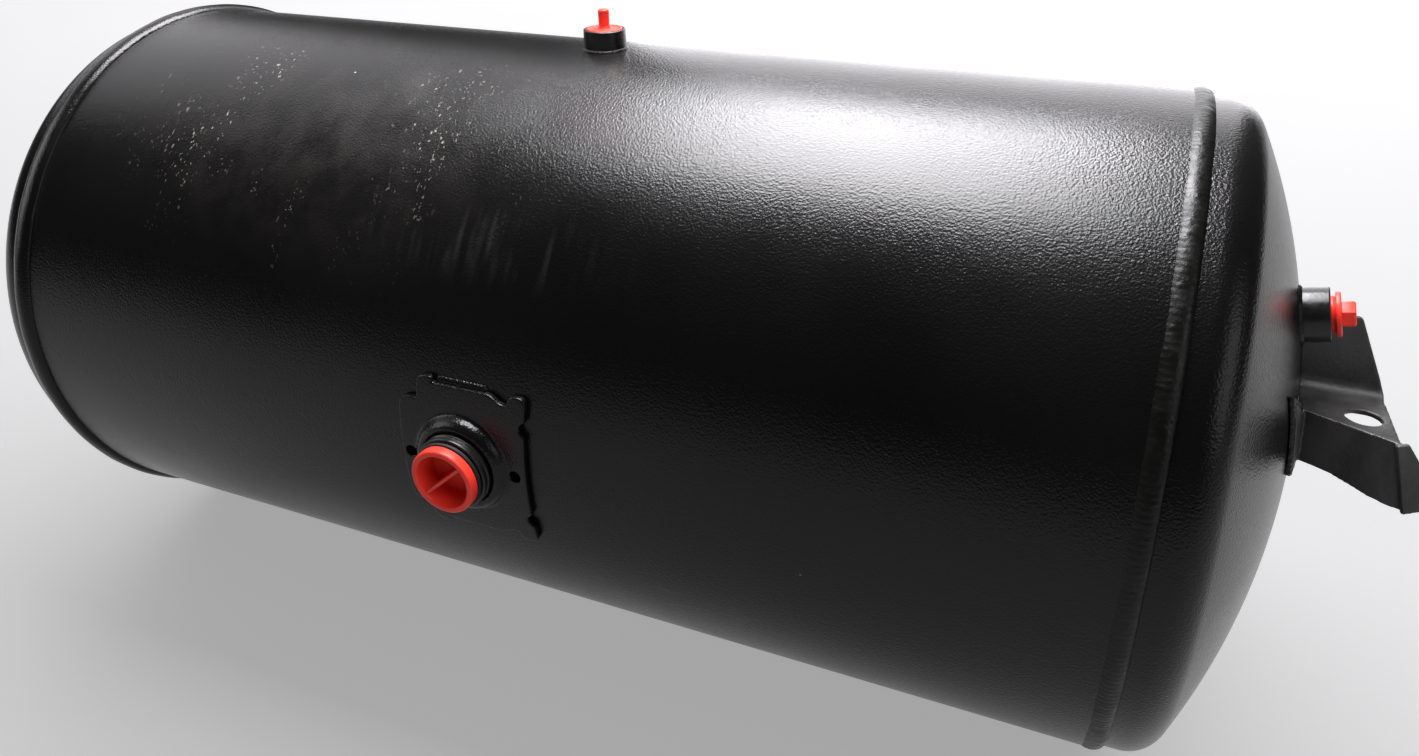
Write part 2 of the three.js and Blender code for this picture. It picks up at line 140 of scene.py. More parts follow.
# The end port stands square to the dished head; its heights start at the crown's centre
KNEE_R = SKIRT_R - KNUCKLE_R
CROWN_CENTRE = SHELL_HALF + SKIRT_OUT - math.sqrt((CROWN_R - KNUCKLE_R) ** 2 - KNEE_R ** 2)
PORT_RISE = math.asin(HEAD_PORT_Z / CROWN_R)
PORT_SWING = math.asin(HEAD_PORT_Y / (CROWN_R * math.cos(PORT_RISE)))
HEAD_PORT = (Matrix.Translation((CROWN_CENTRE, 0, 0)) @ Matrix.Rotation(PORT_SWING, 4, "Z")
             @ Matrix.Rotation(-PORT_RISE, 4, "Y") @ RIGHT)


# Mesh tools ---------------------------------------------------------------------------
def piece(name, points, faces, material, body, nodes=(), smooth=40):
    """A mesh piece in the tank's axes that rides on a body and stands for CAD nodes."""
    mesh = bpy.data.meshes.new(name)
    mesh.from_pydata([AXIS + Vector(p) for p in points], [], faces)
    tidy = bmesh.new()
    tidy.from_mesh(mesh)
    bmesh.ops.remove_doubles(tidy, verts=tidy.verts, dist=1e-6)
    bmesh.ops.recalc_face_normals(tidy, faces=tidy.faces)
    tidy.to_mesh(mesh)
    tidy.free()
    return dress(mesh, name, material, body, nodes, smooth)


def dress(mesh, name, material, body, nodes, smooth):
    """An object for a mesh, with its material, its body and the nodes it replaces."""
    mesh.shade_smooth()
    mesh.set_sharp_from_angle(angle=math.radians(smooth))
    obj = bpy.data.objects.new(name, mesh)
    bpy.context.scene.collection.objects.link(obj)
    mesh.materials.clear()
    mesh.materials.append(material)
    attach(obj, body)
    if nodes:
        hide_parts(*nodes)
    return obj


def rounded(corners):
    """Closed outline of (a, b, radius) corners with each corner rounded by an arc."""
    outline = []
    count = len(corners)
    for i, (a, b, radius) in enumerate(corners):
        here = Vector((a, b))
        if radius <= 0:
            outline.append((a, b))
            continue
        before = (Vector(corners[i - 1][:2]) - here).normalized()
        after = (Vector(corners[(i + 1) % count][:2]) - here).normalized()
        half = before.angle(after) / 2
        centre = here + (before + after).normalized() * radius / math.sin(half)
        start = here + before * radius / math.tan(half) - centre
        end = here + after * radius / math.tan(half) - centre
        sweep = start.angle_signed(end)
        for step in range(ARC_STEPS + 1):
            turn = -sweep * step / ARC_STEPS
            point = centre + Matrix.Rotation(turn, 2) @ start
            outline.append((point.x, point.y))
    return outline


def turned(outline, place, segments):
    """Points and quads of a closed (r, h) outline turned about +Z, then placed."""
    points = []
    faces = []
    rows = len(outline)
    for s in range(segments):
        angle = 2 * math.pi * s / segments
        for r, h in outline:
            points.append(place @ Vector((r * math.cos(angle), r * math.sin(angle), h)))
    for s in range(segments):
        t = (s + 1) % segments
        for k in range(rows):
            n = (k + 1) % rows
            faces.append((s * rows + k, t * rows + k, t * rows + n, s * rows + n))
    return points, faces


def spaced(start, end, count):
    """Evenly spaced numbers from start to end."""
    return [start + (end - start) * i / (count - 1) for i in range(count)]


def spin_piece(name, corners, place, material, body, nodes, segments=TURNED_STEPS):
    """A piece turned from an outline of (r, h, radius) corners."""
    points, faces = turned(rounded(corners), place, segments)
    return piece(name, points, faces, material, body, nodes)


def bead(name, path, normals, size, pitch, material, nodes,
         loop=False, ripple=0.12, rough=0.1, around=14):
    """A weld bead: a closed tube of oval section along a path, rippled every pitch."""
    width, height = size
    count = len(path)
    points = []
    faces = []
    travelled = 0.0
    for i, centre in enumerate(path):
        ahead = path[(i + 1) % count] if loop or i < count - 1 else centre
        behind = path[i - 1] if loop or i > 0 else centre
        along = (ahead - behind).normalized()
        side = along.cross(normals[i]).normalized()
        if i:
            travelled += (centre - path[i - 1]).length
        taper = 1.0
        if not loop:
            from_end = min(i, count - 1 - i)
            taper = min(1.0, 0.25 + 0.75 * from_end / (0.03 * count + 3))
        for k in range(around):
            turn = 2 * math.pi * k / around
            lag = 0.9 * math.cos(turn) ** 2
            wave = math.cos(2 * math.pi * travelled / pitch + lag * math.pi)
            grain = noise.noise(Vector((travelled / pitch * 0.7, k * 0.6, 3.1)))
            drift = noise.noise(Vector((travelled / pitch * 0.13, 7.7, 1.3)))
            swell = taper * (1 + ripple * wave + rough * grain + rough * drift)
            across = side * (width / 2 * math.cos(turn) * swell)
            points.append(centre + across + normals[i] * (height * math.sin(turn) * swell))
    last = count if loop else count - 1
    for i in range(last):
        n = (i + 1) % count
        for k in range(around):
            m = (k + 1) % around
            faces.append((i * around + k, n * around + k, n * around + m, i * around + m))
    if not loop:
        faces.append(tuple(range(around)))
        faces.append(tuple((count - 1) * around + k for k in reversed(range(around))))
    return piece(name, points, faces, material, "tank", nodes, smooth=70)


def carve(obj, cutter_points, cutter_faces):
    """Cuts a closed form out of a piece."""
    mesh = bpy.data.meshes.new("cutter")
    mesh.from_pydata([AXIS + Vector(p) for p in cutter_points], [], cutter_faces)
    cutter = bpy.data.objects.new("cutter", mesh)
    bpy.context.scene.collection.objects.link(cutter)
    cut = obj.modifiers.new("cut", "BOOLEAN")
    cut.operation = "DIFFERENCE"
    cut.solver = "EXACT"
    cut.object = cutter
    apply_modifiers(obj)
    bpy.data.objects.remove(cutter)


def apply_modifiers(obj):
    """Gives a piece the mesh that its modifiers make, and takes them off it."""
    graph = bpy.context.evaluated_depsgraph_get()
    graph.update()
    result = bpy.data.meshes.new_from_object(obj.evaluated_get(graph))
    materials = list(obj.data.materials)
    obj.modifiers.clear()
    obj.data = result
    result.materials.clear()
    for material in materials:
        result.materials.append(material)


def rod(radius, low, high, place):
    """Closed cylinder along +Z, placed, as points and faces."""
    segments = ROD_STEPS
    points = []
    for h in (low, high):
        for s in range(segments):
            angle = 2 * math.pi * s / segments
            points.append(place @ Vector((radius * math.cos(angle), radius * math.sin(angle), h)))
    faces = [tuple(reversed(range(segments))), tuple(range(segments, 2 * segments))]
    for s in range(segments):
        t = (s + 1) % segments
        faces.append((s, t, segments + t, segments + s))
    return points, faces


# Materials ----------------------------------------------------------------------------
class Paint:
    """Builds one node material step by step."""

    def __init__(self, name, roughness, specular):
        self.material = bpy.data.materials.new(name)
        self.material["slot"] = name
        self.material.use_nodes = True
        self.nodes = self.material.node_tree.nodes
        self.links = self.material.node_tree.links
        self.shader = self.nodes["Principled BSDF"]
        self.shader.inputs["Roughness"].default_value = roughness
        self.shader.inputs["Specular IOR Level"].default_value = specular
        self.place = self.nodes.new("ShaderNodeTexCoord").outputs["Object"]

    def join(self, value, socket):
        if isinstance(value, bpy.types.NodeSocket):
            self.links.new(value, socket)
        else:
            socket.default_value = value

    def scaled(self, scale):
        node = self.nodes.new("ShaderNodeMapping")
        node.inputs["Scale"].default_value = scale
        self.links.new(self.place, node.inputs["Vector"])
        return node.outputs["Vector"]

    def noise(self, scale, detail=2.0, vector=None, distortion=0.0, roughness=0.5):
        node = self.nodes.new("ShaderNodeTexNoise")
        node.inputs["Scale"].default_value = scale
        node.inputs["Detail"].default_value = detail
        node.inputs["Roughness"].default_value = roughness
        node.inputs["Distortion"].default_value = distortion
        self.links.new(vector or self.place, node.inputs["Vector"])
        return node.outputs["Fac"]

    def cells(self, scale):
        node = self.nodes.new("ShaderNodeTexVoronoi")
        node.inputs["Scale"].default_value = scale
        self.links.new(self.place, node.inputs["Vector"])
        return node.outputs["Distance"]

    def ramp(self, value, low, high, start=0.0, end=1.0):
        node = self.nodes.new("ShaderNodeMapRange")
        node.interpolation_type = "SMOOTHSTEP"
        self.join(value, node.inputs["Value"])
        for socket, number in zip(("From Min", "From Max", "To Min", "To Max"), (low, high, start, end)):
            node.inputs[socket].default_value = number
        return node.outputs["Result"]

    def math(self, operation, a, b):
        node = self.nodes.new("ShaderNodeMath")
        node.operation = operation
        self.join(a, node.inputs[0])
        self.join(b, node.inputs[1])
        return node.outputs[0]

    def patch(self, centre, size, soft):
        """1 inside an oval region round a point, fading to 0 from the soft share to its rim."""
        move = self.nodes.new("ShaderNodeMapping")
        move.inputs["Scale"].default_value = [1 / s for s in size]
        move.inputs["Location"].default_value = [-c / s for c, s in zip(centre, size)]
        self.links.new(self.place, move.inputs["Vector"])
        length = self.nodes.new("ShaderNodeVectorMath")
        length.operation = "LENGTH"
        self.links.new(move.outputs[0], length.inputs[0])
        return self.ramp(length.outputs["Value"], soft, 1.0, 1.0, 0.0)

    def blend(self, amount, a, b):
        node = self.nodes.new("ShaderNodeMix")
        node.data_type = "RGBA"
        self.join(amount, node.inputs["Factor"])
        for value, socket in ((a, node.inputs["A"]), (b, node.inputs["B"])):
            self.join(value if isinstance(value, bpy.types.NodeSocket) else (*value, 1), socket)
        return node.outputs["Result"]

    def bump(self, height, strength, distance, under=None):
        node = self.nodes.new("ShaderNodeBump")
        node.inputs["Strength"].default_value = strength
        node.inputs["Distance"].default_value = distance
        self.links.new(height, node.inputs["Height"])
        if under:
            self.links.new(under, node.inputs["Normal"])
        return node.outputs["Normal"]

    def finish(self, colour, roughness=None, normal=None):
        for value, name in ((colour, "Base Color"), (roughness, "Roughness"), (normal, "Normal")):
            if value is not None:
                self.join(value, self.shader.inputs[name])
        return self.material


def powder_coat():
    """Satin black powder coat: fine orange peel, dust, rub marks and light scuffs."""
    paint = Paint("powder_coat", 0.3, 0.24)
    cloud = paint.noise(6, 4)
    deep, light = (0.0022, 0.002, 0.0021), (0.0045, 0.0042, 0.0041)
    colour = paint.blend(paint.ramp(cloud, 0.3, 0.75), deep, light)
    # dry dust lying on the upper left of the shell: a haze, then ragged specks in clusters
    dusty = paint.patch((-0.17, -0.1, 0.36), (0.2, 0.12, 0.12), 0.1)
    film = paint.math("MULTIPLY", dusty, paint.ramp(paint.noise(30, 5, roughness=0.6), 0.3, 0.8))
    colour = paint.blend(paint.math("MULTIPLY", film, 0.2), colour, (0.045, 0.039, 0.034))
    clusters = paint.ramp(paint.noise(17, 3, paint.scaled((1, 0.6, 0.6)), roughness=0.65), 0.48, 0.62)
    clusters = paint.math("MULTIPLY", clusters, dusty)
    for scale, amount in ((380, 0.6), (640, 0.4)):
        specks = paint.ramp(paint.noise(scale, 1, paint.scaled((1, 0.55, 0.55))), 0.69, 0.72)
        specks = paint.math("MULTIPLY", paint.math("MULTIPLY", specks, amount), clusters)
        colour = paint.blend(specks, colour, (0.42, 0.4, 0.36))
    # soft bands rubbed round the barrel
    rubbed = paint.patch((-0.03, -0.146, 0.322), (0.11, 0.03, 0.03), 0.15)
    bands = paint.noise(150, 1, paint.scaled((1, 0.1, 0.1)))
    broken = paint.ramp(paint.noise(60, 4, paint.scaled((1, 0.5, 0.5))), 0.35, 0.65)
    rubbed = paint.math("MULTIPLY", rubbed, paint.ramp(bands, 0.44, 0.68))
    rubbed = paint.math("MULTIPLY", rubbed, broken)
    colour = paint.blend(paint.math("MULTIPLY", rubbed, 0.16), colour, (0.07, 0.068, 0.062))
    # scuffs along the underside
    scuffed = paint.patch((0.1, -0.165, 0.11), (0.1, 0.05, 0.035), 0.2)
    streaks = paint.noise(60, 5, paint.scaled((0.25, 1, 1)), 1.2, 0.7)
    scuffed = paint.math("MULTIPLY", scuffed, paint.ramp(streaks, 0.55, 0.72))
    colour = paint.blend(paint.math("MULTIPLY", scuffed, 0.5), colour, (0.2, 0.19, 0.17))
    # two chips on the dished end, and a few more anywhere
    head_chips = (((0.363, -0.1122, 0.3475), 1.7 * MM), ((0.356, -0.1538, 0.3207), 1.4 * MM))
    for centre, size in head_chips:
        spot = paint.patch(centre, (size, size, size), 0.5)
        colour = paint.blend(spot, colour, (0.45, 0.44, 0.42))
    chips = paint.ramp(paint.cells(28), 0.016, 0.03, 1.0, 0.0)
    chips = paint.math("MULTIPLY", chips, paint.ramp(paint.noise(9, 1), 0.58, 0.64))
    colour = paint.blend(chips, colour, (0.3, 0.29, 0.27))
    worn = paint.math("MAXIMUM", film, paint.math("MAXIMUM", rubbed, scuffed))
    sheen = paint.ramp(paint.noise(14, 3), 0.3, 0.7, 0.22, 0.27)
    roughness = paint.math("ADD", sheen, paint.math("MULTIPLY", worn, 0.18))
    grain = paint.bump(paint.noise(760, 1), 0.6, 0.0004)
    dents = paint.bump(paint.noise(7, 1), 0.15, 0.004, grain)
    return paint.finish(colour, roughness, dents)


def coated_weld():
    """The same coat over rippled weld metal, glossier, with a faint olive cast."""
    paint = Paint("coated_weld", 0.3, 0.22)
    colour = paint.blend(paint.noise(160, 3), (0.0018, 0.0018, 0.0016), (0.0045, 0.0045, 0.0036))
    spatter = paint.ramp(paint.cells(210), 0.1, 0.3, 1.0, 0.0)
    grain = paint.math("ADD", paint.noise(460, 3), paint.math("MULTIPLY", spatter, 0.3))
    roughness = paint.ramp(paint.noise(120, 2), 0.3, 0.7, 0.3, 0.44)
    return paint.finish(colour, roughness, paint.bump(grain, 0.5, 0.0005))


def dull_coat_painted_light():
    """The coat on the folded sheet: duller, lightly streaked, and lifted to grey, partly for its duller
    finish and partly as painted light standing for the pale floor it faces.
    """
    paint = Paint("dull_coat_painted_light", 0.42, 0.4)
    paint.material["slot"] = "powder_coat"
    streaks = paint.noise(40, 5, paint.scaled((1, 1, 0.3)), 0.5, 0.6)
    # the grey base is partly painted light: it stands for light the bracket catches from the pale floor
    deep, light = (0.017, 0.0167, 0.016), (0.042, 0.041, 0.039)
    colour = paint.blend(paint.ramp(streaks, 0.35, 0.7), deep, light)
    roughness = paint.ramp(paint.noise(55, 3), 0.3, 0.7, 0.34, 0.48)
    return paint.finish(colour, roughness, paint.bump(paint.noise(560, 1), 0.35, 0.0004))


def gloss_coat():
    """Thicker, glossier black over machined bosses, with faint turning marks."""
    paint = Paint("gloss_coat", 0.22, 0.35)
    colour = paint.blend(paint.noise(60, 3), (0.004, 0.004, 0.0045), (0.012, 0.012, 0.012))
    roughness = paint.ramp(paint.noise(180, 3), 0.3, 0.7, 0.24, 0.36)
    return paint.finish(colour, roughness, paint.bump(paint.noise(520, 2), 0.25, 0.0003))


def red_plastic():
    """Moulded red-orange plastic, slightly translucent, with handling marks."""
    paint = Paint("red_plastic", 0.34, 0.25)
    colour = paint.blend(paint.noise(70, 3), (0.72, 0.03, 0.018), (0.82, 0.045, 0.027))
    grime = paint.ramp(paint.noise(210, 5, roughness=0.7), 0.6, 0.78)
    colour = paint.blend(paint.math("MULTIPLY", grime, 0.35), colour, (0.35, 0.03, 0.02))
    paint.shader.inputs["Subsurface Weight"].default_value = 0.1
    paint.shader.inputs["Subsurface Radius"].default_value = (0.004, 0.001, 0.0006)
    roughness = paint.ramp(paint.noise(300, 3), 0.3, 0.7, 0.28, 0.42)
    return paint.finish(colour, roughness, paint.bump(paint.noise(800, 2), 0.2, 0.0002))


def rubber():
    """Matt black gasket rubber."""
    paint = Paint("rubber", 0.7, 0.3)
    colour = paint.blend(paint.noise(300, 3), (0.008, 0.008, 0.008), (0.02, 0.02, 0.02))
    roughness = paint.ramp(paint.noise(150, 2), 0.3, 0.7, 0.6, 0.8)
    return paint.finish(colour, roughness, paint.bump(paint.noise(1400, 2), 0.4, 0.0002))


def floor_paint():
    """Pale matt floor with a little light of its own."""
    paint = Paint("floor_paint", 0.8, 0.2)
    colour = paint.blend(paint.noise(3, 2), (0.86, 0.86, 0.86), (0.9, 0.9, 0.9))
    paint.shader.inputs["Emission Color"].default_value = (1, 1, 1, 1)
    paint.shader.inputs["Emission Strength"].default_value = FLOOR_GLOW
    return paint.finish(colour)


COAT = powder_coat()
WELD = coated_weld()
DULL_COAT_PAINTED_LIGHT = dull_coat_painted_light()
GLOSS = gloss_coat()
RED = red_plastic()
RUBBER = rubber()


# Vessel -------------------------------------------------------------------------------
def head_outline(offset):
    """Half section of a dished head: skirt, knuckle and crown, out to its middle."""
    knee_x = SHELL_HALF + SKIRT_OUT
    tangent = math.asin(KNEE_R / (CROWN_R - KNUCKLE_R))
    outline = [(SKIRT_R + offset, SHELL_HALF - SKIRT_IN)]
    for i in range(KNUCKLE_STEPS + 1):
        turn = (math.pi / 2 - tangent) * i / KNUCKLE_STEPS
        r = KNEE_R + (KNUCKLE_R + offset) * math.cos(turn)
        outline.append((r, knee_x + (KNUCKLE_R + offset) * math.sin(turn)))
    for i in range(1, CROWN_STEPS + 1):
        fall = tangent * (1 - i / CROWN_STEPS)
        crown = CROWN_R + offset
        outline.append((crown * math.sin(fall), CROWN_CENTRE + crown * math.cos(fall)))
    return outline


def dished_head(name, place):
    """Both skins of a head, turned as one closed wall."""
    outline = head_outline(0) + head_outline(-SHELL_WALL)[::-1]
    points, faces = turned(outline, place, 240)
    return piece(name, points, faces, COAT, "tank", (name,), smooth=50)


def build_vessel():
    outside = [(SHELL_R, h) for h in spaced(-SHELL_HALF, SHELL_HALF, 49)]
    inside = [(SHELL_R - SHELL_WALL, h) for _, h in reversed(outside)]
    points, faces = turned(outside + inside, RIGHT, 288)
    shell = piece("rolled_shell", points, faces, COAT, "tank", ("shell",))
    carve(shell, *rod(BORE_R, SHELL_R - 20 * MM, SHELL_R + 20 * MM, UP))
    carve(shell, *rod(NECK_BORE, SHELL_R - 20 * MM, SHELL_R + 20 * MM, FRONT))
    dished_head("head_left", LEFT)
    right = dished_head("head_right", RIGHT)
    carve(right, *rod(BORE_R, CROWN_R - 30 * MM, HEAD_BOSS_FACE, HEAD_PORT))


def ring_path(radius, x, count):
    """Points round the tank, and the way out from its axis at each."""
    path = []
    normals = []
    for i in range(count):
        angle = 2 * math.pi * i / count
        out = Vector((0, math.cos(angle), math.sin(angle)))
        path.append(Vector((x, 0, 0)) + out * radius)
        normals.append(out)
    return path, normals


def build_girth_welds():
    path, normals = ring_path(SHELL_R - 3.6 * MM, SHELL_HALF + 1.2 * MM, count=2200)
    bead("girth_bead_right", path, normals, GIRTH_RIGHT_SIZE, RIPPLE, WELD,
         ("girth_weld_right",), loop=True, ripple=0.008, rough=0.035, around=28)
    path, normals = ring_path(SHELL_R - 1.5 * MM, -SHELL_HALF - 1.5 * MM, count=480)
    bead("girth_bead_left", path, normals, GIRTH_LEFT_SIZE, RIPPLE * 9, COAT,
         ("girth_weld_left",), loop=True, ripple=0.01, rough=0.03, around=28)


def build_seam():
    out = Vector((0, math.cos(SEAM_ANGLE), math.sin(SEAM_ANGLE)))
    count = 1300
    start, end = -SHELL_HALF + 8 * MM, SHELL_HALF - 1 * MM
    path = [Vector((x, 0, 0)) + out * SHELL_R for x in spaced(start, end, count)]
    bead("seam_bead", path, [out] * count, SEAM_SIZE, 3 * MM, WELD, ("seam_weld",))


# Ports --------------------------------------------------------------------------------
def port_fillet(name, place, radius, surface_height, nodes):
    """Rippled fillet where a boss stands on a curved wall."""
    count = 300
    path = []
    normals = []
    for i in range(count):
        angle = 2 * math.pi * i / count
        x, y = radius * math.cos(angle), radius * math.sin(angle)
        path.append(place @ Vector((x, y, surface_height(x, y))))
        lean = Vector((math.cos(angle), math.sin(angle), 1)).normalized()
        normals.append(place.to_3x3() @ lean)
    bead(name, path, normals, PORT_FILLET_SIZE, 2.6 * MM, WELD, nodes, loop=True,
         ripple=0.04, rough=0.07)


def build_top_port():
    base = SHELL_R - 2 * MM
    floor = TOP_BOSS - SEAT_DEPTH
    boss = [
        (BORE_R, base, 0),
        (BOSS_R + 0.3 * MM, base, 0),
        (BOSS_R, TOP_BOSS, 0.8 * MM),
        (SEAT_R, TOP_BOSS, 0.3 * MM),
        (SEAT_R, floor, 0),
        (BORE_R, floor, 0),
    ]
    spin_piece("top_boss", boss, UP, GLOSS, "tank", ("top_port_boss",))
    port_fillet("top_port_fillet", UP, BOSS_R, lambda x, y: math.sqrt(SHELL_R ** 2 - y ** 2),
                ("top_port_weld",))
    rim = floor + 0.3 * MM
    plug = [
        (0, rim - 12 * MM, 0),
        (9.1 * MM, rim - 12 * MM, 0.6 * MM),
        (PLUG_R, rim - 11 * MM, 0.5 * MM),
        (PLUG_R, rim, 0),
        (11.7 * MM, rim, 0.2 * MM),
        (11.7 * MM, rim + 1.6 * MM, 0.6 * MM),
        (10.4 * MM, rim + 1.7 * MM, 0.4 * MM),
        (9.8 * MM, rim + 1.1 * MM, 0.5 * MM),
        (4.9 * MM, rim + 1.2 * MM, 1.2 * MM),
        (3.5 * MM, rim + 3.2 * MM, 1.5 * MM),
        (3.7 * MM, rim + 13.6 * MM, 1.3 * MM),
        (0, rim + 13.6 * MM, 0),
    ]
    spin_piece("stem_plug", plug, UP, RED, "top_plug", ("top_plug",), 96)


def build_head_port():
    face = HEAD_BOSS_FACE
    boss = [
        (BORE_R, CROWN_R - 2 * MM, 0),
        (HEAD_BOSS_R + 0.2 * MM, CROWN_R - 2 * MM, 0),
        (HEAD_BOSS_R, face, 0.8 * MM),
        (BORE_R + 1.2 * MM, face, 0.3 * MM),
        (BORE_R, face - 1.2 * MM, 0),
    ]
    spin_piece("head_boss", boss, HEAD_PORT, GLOSS, "tank", ("head_port_boss",))
    port_fillet("head_port_fillet", HEAD_PORT, HEAD_BOSS_R,
                lambda x, y: math.sqrt(CROWN_R ** 2 - x ** 2 - y ** 2), ("head_port_weld",))
    plug = [
        (0, face - 10 * MM, 0),
        (9.1 * MM, face - 10 * MM, 0.6 * MM),
        (PLUG_R, face - 9 * MM, 0.5 * MM),
        (PLUG_R, face + 1.2 * MM, 0.6 * MM),
        (9.2 * MM, face + 2.1 * MM, 0.2 * MM),
        (12 * MM, face + 2.2 * MM, 0.5 * MM),
        (12 * MM, face + 4.7 * MM, 0.8 * MM),
        (9.5 * MM, face + 4.8 * MM, 0.6 * MM),
        (0, face + 4.8 * MM, 0),
    ]
    spin_piece("hex_plug", plug, HEAD_PORT, RED, "head_plug", ("head_plug",), 96)
    hexagon = []
    for radius, height in HEXAGON_MM:
        for k in range(6):
            angle = math.radians(60 * k)
            across = Vector((math.cos(angle), math.sin(angle), 0)) * radius * MM
            hexagon.append(HEAD_PORT @ (across + Vector((0, 0, face + height * MM))))
    faces = [tuple(reversed(range(6))), tuple(range(12, 18))]
    for row in (0, 6):
        for k in range(6):
            n = (k + 1) % 6
            faces.append((row + k, row + n, row + 6 + n, row + 6 + k))
    head = piece("hex_plug_head", hexagon, faces, RED, "head_plug", smooth=30)
    soften(head, 0.5 * MM)


def soften(obj, width):
    """Rounds the sharp edges of a piece."""
    bevel = obj.modifiers.new("soften", "BEVEL")
    bevel.width = width
    bevel.segments = 3
    bevel.limit_method = "ANGLE"
    bevel.harden_normals = True
    apply_modifiers(obj)


def build_plate():
    plate = from_cad("flange_plate", "saddle_plate", COAT, 0.5 * MM, 6)
    # the CAD plate is flat from facet to facet, and is eased out here to a true round
    half = math.pi / PLATE_FACETS
    for vertex in plate.data.vertices:
        away = vertex.co - AXIS
        radius = math.hypot(away.y, away.z)
        turn = (math.atan2(away.z, away.y) + half) % (2 * half) - half
        skin = min(1.0, max(0.0, (PLATE_R + 2.5 * MM - radius) / (2 * MM)))
        grow = 1 + skin * (math.cos(turn) / math.cos(half) - 1)
        vertex.co.y = AXIS.y + away.y * grow
        vertex.co.z = AXIS.z + away.z * grow
    # the pressed ring round the collar is smoothed until its facets are gone
    ring = plate.vertex_groups.new(name="ring")
    for vertex in plate.data.vertices:
        reach = math.hypot(vertex.co.x - AXIS.x, vertex.co.z - AXIS.z)
        ring.add([vertex.index], min(1.0, max(0.0, (PLATE_RING_R - reach) / (3 * MM))), "REPLACE")
    ease = plate.modifiers.new("ease", "SMOOTH")
    ease.vertex_group = ring.name
    ease.factor = 0.5
    ease.iterations = 90
    apply_modifiers(plate)


def build_plate_welds():
    count = 140
    start, end = -17.6 * MM, 17.5 * MM
    for name, side in (("upper", 1), ("lower", -1)):
        y = side * PLATE_WELD_Y
        height = math.sqrt(SHELL_R ** 2 - y ** 2)
        path = [FRONT @ Vector((x, y, height)) for x in spaced(start, end, count)]
        out = FRONT.to_3x3() @ Vector((0, side * 0.5, 0.87))
        bead(f"plate_fillet_{name}", path, [out] * count, PLATE_WELD_SIZE, 2.4 * MM, COAT,
             (f"plate_weld_{name}",), ripple=0.03, rough=0.06)


def build_neck():
    collar = [
        (NECK_BORE, SHELL_R - 2 * MM, 0),
        (NECK_R, SHELL_R - 2 * MM, 0),
        (NECK_R, 208.6 * MM, 0.3 * MM),
        (NECK_R - 0.7 * MM, 209.2 * MM, 0.3 * MM),
        (NECK_R - 0.7 * MM, 209.9 * MM, 0.3 * MM),
        (NECK_R, 210.5 * MM, 0.3 * MM),
        (NECK_R, NECK_FACE, 0.9 * MM),
        (NECK_BORE + 1.2 * MM, NECK_FACE, 0.3 * MM),
        (NECK_BORE, NECK_FACE - 1.2 * MM, 0),
    ]
    spin_piece("threaded_collar", collar, FRONT, GLOSS, "tank", ("neck_collar",))
    gasket = [
        (NECK_BORE + 0.3 * MM, NECK_FACE + 0.3 * MM, 0.3 * MM),
        (CAP_R + 0.9 * MM, NECK_FACE + 0.3 * MM, 0.9 * MM),
        (CAP_R + 0.9 * MM, CAP_FLANGE - 0.3 * MM, 0.9 * MM),
        (NECK_BORE + 0.3 * MM, CAP_FLANGE - 0.3 * MM, 0.3 * MM),
    ]
    spin_piece("cap_seal", gasket, FRONT, RUBBER, "front_cap", ("cap_gasket",))


def build_cap():
    cup = [
        (0, CAP_FLOOR - 4 * MM, 0),
        (17 * MM, CAP_FLOOR - 4 * MM, 0.5 * MM),
        (18 * MM, CAP_FLOOR - 3 * MM, 0.4 * MM),
        (18 * MM, CAP_FLANGE, 0),
        (CAP_R, CAP_FLANGE, 0.4 * MM),
        (CAP_R, CAP_FACE, 1.3 * MM),
        (CAP_RECESS + 1.9 * MM, CAP_FACE, 0.9 * MM),
        (CAP_RECESS - 0.4 * MM, CAP_FLOOR, 1.0 * MM),
        (0, CAP_FLOOR, 0),
    ]
    spin_piece("screw_cap", cup, FRONT, RED, "front_cap", ("front_cap",), 144)
    half_length = CAP_RECESS + 1.6 * MM
    half_thick = 1.05 * MM
    along = Vector((math.cos(WEB_ANGLE), math.sin(WEB_ANGLE), 0))
    across = Vector((-math.sin(WEB_ANGLE), math.cos(WEB_ANGLE), 0))
    corners = []
    for h in (CAP_FLOOR - 0.5 * MM, CAP_FACE - 0.7 * MM):
        for a, b in ((-1, -1), (1, -1), (1, 1), (-1, 1)):
            flat = along * a * half_length + across * b * half_thick
            corners.append(FRONT @ (flat + Vector((0, 0, h))))
    faces = [(3, 2, 1, 0), (4, 5, 6, 7), (0, 1, 5, 4), (1, 2, 6, 5), (2, 3, 7, 6), (3, 0, 4, 7)]
    web = piece("grip_web", corners, faces, RED, "front_cap")
    soften(web, 0.6 * MM)


# Bracket ------------------------------------------------------------------------------
def from_cad(node, name, material, voxel, relax):
    """A smoothed copy of a CAD node's folded form."""
    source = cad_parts[node]
    mesh = source.data.copy()
    mesh.transform(source.matrix_world)
    obj = dress(mesh, name, material, "tank", (node,), smooth=60)
    shrink = obj.modifiers.new("voxels", "REMESH")
    shrink.mode = "VOXEL"
    shrink.voxel_size = voxel
    shrink.use_smooth_shade = True
    calm = obj.modifiers.new("calm", "SMOOTH")
    calm.factor = 0.5
    calm.iterations = relax
    apply_modifiers(obj)
    obj.data.shade_smooth()
    return obj


def build_bracket():
    from_cad("bracket", "folded_bracket", DULL_COAT_PAINTED_LIGHT, 0.55 * MM, 7)
    for node in ("bracket_foot_weld", "bracket_back_weld"):
        fillet = from_cad(node, node.replace("weld", "fillet"), WELD, 0.4 * MM, 5)
        for vertex in fillet.data.vertices:
            lump = noise.noise(vertex.co * 420) + 0.5 * noise.noise(vertex.co * 900)
            vertex.co += vertex.normal * lump * 0.35 * MM


build_vessel()
build_girth_welds()
build_seam()
build_top_port()
build_head_port()
build_plate()
build_plate_welds()
build_neck()
build_cap()
build_bracket()


